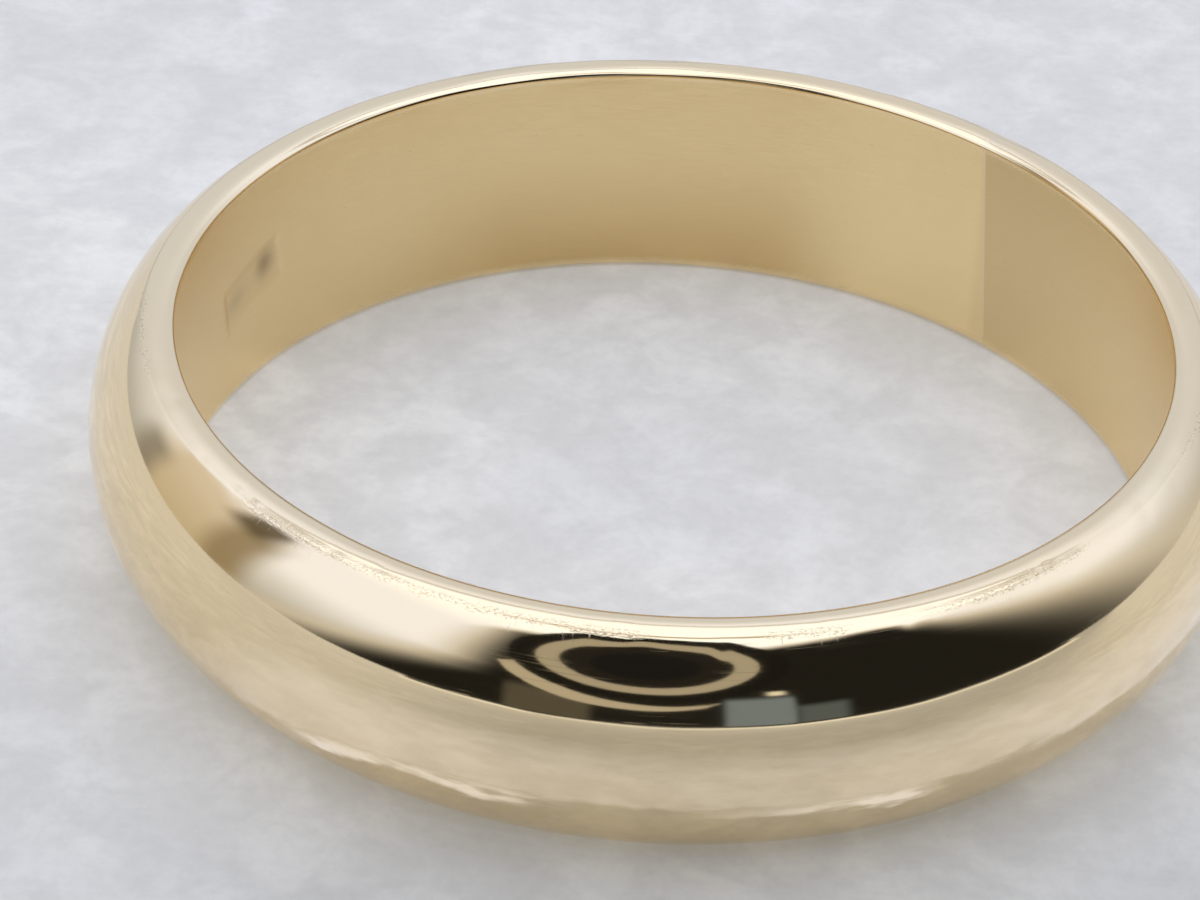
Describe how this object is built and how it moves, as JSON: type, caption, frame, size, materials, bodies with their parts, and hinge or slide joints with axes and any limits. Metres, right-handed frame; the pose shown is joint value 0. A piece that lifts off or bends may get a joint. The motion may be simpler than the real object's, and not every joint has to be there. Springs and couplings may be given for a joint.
{
  "type": "wedding band",
  "caption": "Plain polished half-round gold wedding band, worn on a finger: a low domed strip bent round and closed by a soldered joint.",
  "frame": {"origin": "centre of the side edge that the band lies on, on the bore's axis", "axes": "+Z along the bore's axis, from the edge that the band lies on towards the other edge; +X and +Y lie across the bore, with the soldered joint about 49 degrees from +X towards +Y"},
  "size_m": [0.0188, 0.0188, 0.004],
  "materials": {
    "gold": "polished",
    "gold_solder": "polished"
  },
  "bodies": {
    "root": {"band": "gold", "solder_seam": "gold_solder"}
  },
  "joints": []
}
